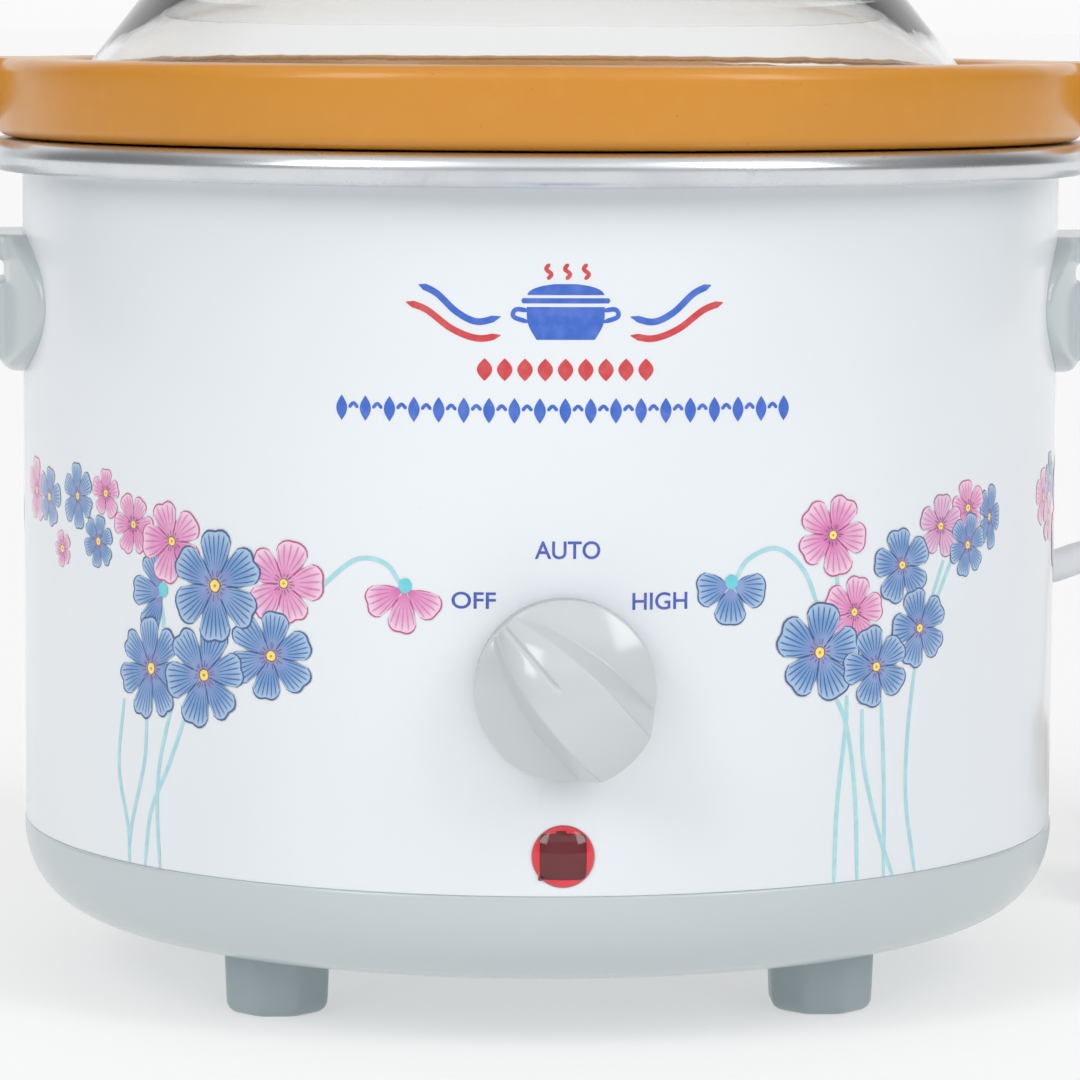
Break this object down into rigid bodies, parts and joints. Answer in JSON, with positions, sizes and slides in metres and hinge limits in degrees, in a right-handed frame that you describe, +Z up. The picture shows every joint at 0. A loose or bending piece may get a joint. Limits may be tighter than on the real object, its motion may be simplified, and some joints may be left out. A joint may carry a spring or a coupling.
{
  "type": "slow cooker",
  "caption": "Round electric slow cooker: white enamelled shell on a grey footed base, heated well, lift-out tan crock, glass lid, heat knob, pilot lamp and mains lead.",
  "frame": {"origin": "on the body's vertical axis, in the plane that the feet stand on", "axes": "+Z up along the body's axis, -Y towards the front with its knob and lamp, +X to the right seen from the front"},
  "size_m": [0.3854, 0.3379, 0.258],
  "materials": {
    "enamel": "gloss white enamel with a printed floral band",
    "grey_plastic": "satin moulded plastic, light grey",
    "foot_plastic": "moulded plastic, mid grey",
    "aluminium": "spun and polished sheet",
    "plated_steel": "zinc-plated",
    "brass": "plain",
    "stoneware": "glazed stoneware, tan",
    "clear_glass": "clear pressed glass",
    "silicone": "soft moulded",
    "red_lens": "translucent red",
    "bulb_glass": "small neon bulb",
    "black_plastic": "moulded",
    "heater": "woven glass fibre over resistance wire",
    "blanket": "glass-fibre felt",
    "switch_plastic": "phenolic moulding",
    "cord_jacket": "smooth round mains lead",
    "wire_brown": "insulated wire",
    "wire_blue": "insulated wire",
    "wire_green": "insulated wire",
    "wire_white": "heat-resistant sleeved wire",
    "wire_red": "insulated wire",
    "tie_fabric": "hook-and-loop strap"
  },
  "bodies": {
    "root": {"base_cover": "grey_plastic", "foot_screws": "plated_steel", "outer_shell": "enamel", "heating_well": "aluminium", "bottom_reflector": "aluminium", "centre_stud": "plated_steel", "stud_spacer_upper": "plated_steel", "stud_spacer_lower": "plated_steel", "centre_washer": "plated_steel", "centre_nut": "plated_steel", "heater_band": "heater", "heater_strap": "plated_steel", "strap_screw": "plated_steel", "insulation_blanket": "blanket", "thermostat": "black_plastic", "thermostat_bracket": "plated_steel", "thermal_fuse": "wire_white", "handle_left": "grey_plastic", "handle_right": "grey_plastic", "handle_plate_left": "plated_steel", "handle_plate_right": "plated_steel", "handle_screws": "plated_steel", "switch_body": "switch_plastic", "switch_nut": "plated_steel", "lamp_lens": "red_lens", "lamp_bulb": "bulb_glass", "lamp_holder": "black_plastic", "terminal_block": "switch_plastic", "earth_screw": "brass", "lead_live": "wire_brown", "lead_neutral": "wire_blue", "lead_earth": "wire_green", "lead_heater": "wire_white", "lead_lamp": "wire_red", "inner_cord": "cord_jacket", "strain_relief": "grey_plastic", "strain_relief_nut": "grey_plastic", "power_cord": "cord_jacket", "cord_coil": "cord_jacket", "coil_tie": "tie_fabric", "cord_tail": "cord_jacket", "plug_body": "cord_jacket", "plug_pins": "brass", "foot_front_right": "foot_plastic", "foot_rear_right": "foot_plastic", "foot_rear_left": "foot_plastic", "foot_front_left": "foot_plastic"},
    "knob": {"control_knob": "grey_plastic", "switch_shaft": "plated_steel"},
    "crock": {"crock": "stoneware"},
    "lid": {"glass_lid": "clear_glass", "lid_washer": "silicone", "lid_knob_seat": "foot_plastic", "lid_knob": "grey_plastic", "lid_screw": "plated_steel"}
  },
  "joints": [
    {"name": "knob_turn", "type": "hinge", "parent": "root", "child": "knob", "pos_m": [0, -0.11, 0.074], "axis": [0, 1, 0], "range_deg": [0, 86]},
    {"name": "crock_lift", "type": "slide", "parent": "root", "child": "crock", "axis": [0, 0, 1], "range_m": [0, 0.16]},
    {"name": "lid_lift", "type": "slide", "parent": "crock", "child": "lid", "axis": [0, 0, 1], "range_m": [0, 0.12]}
  ]
}
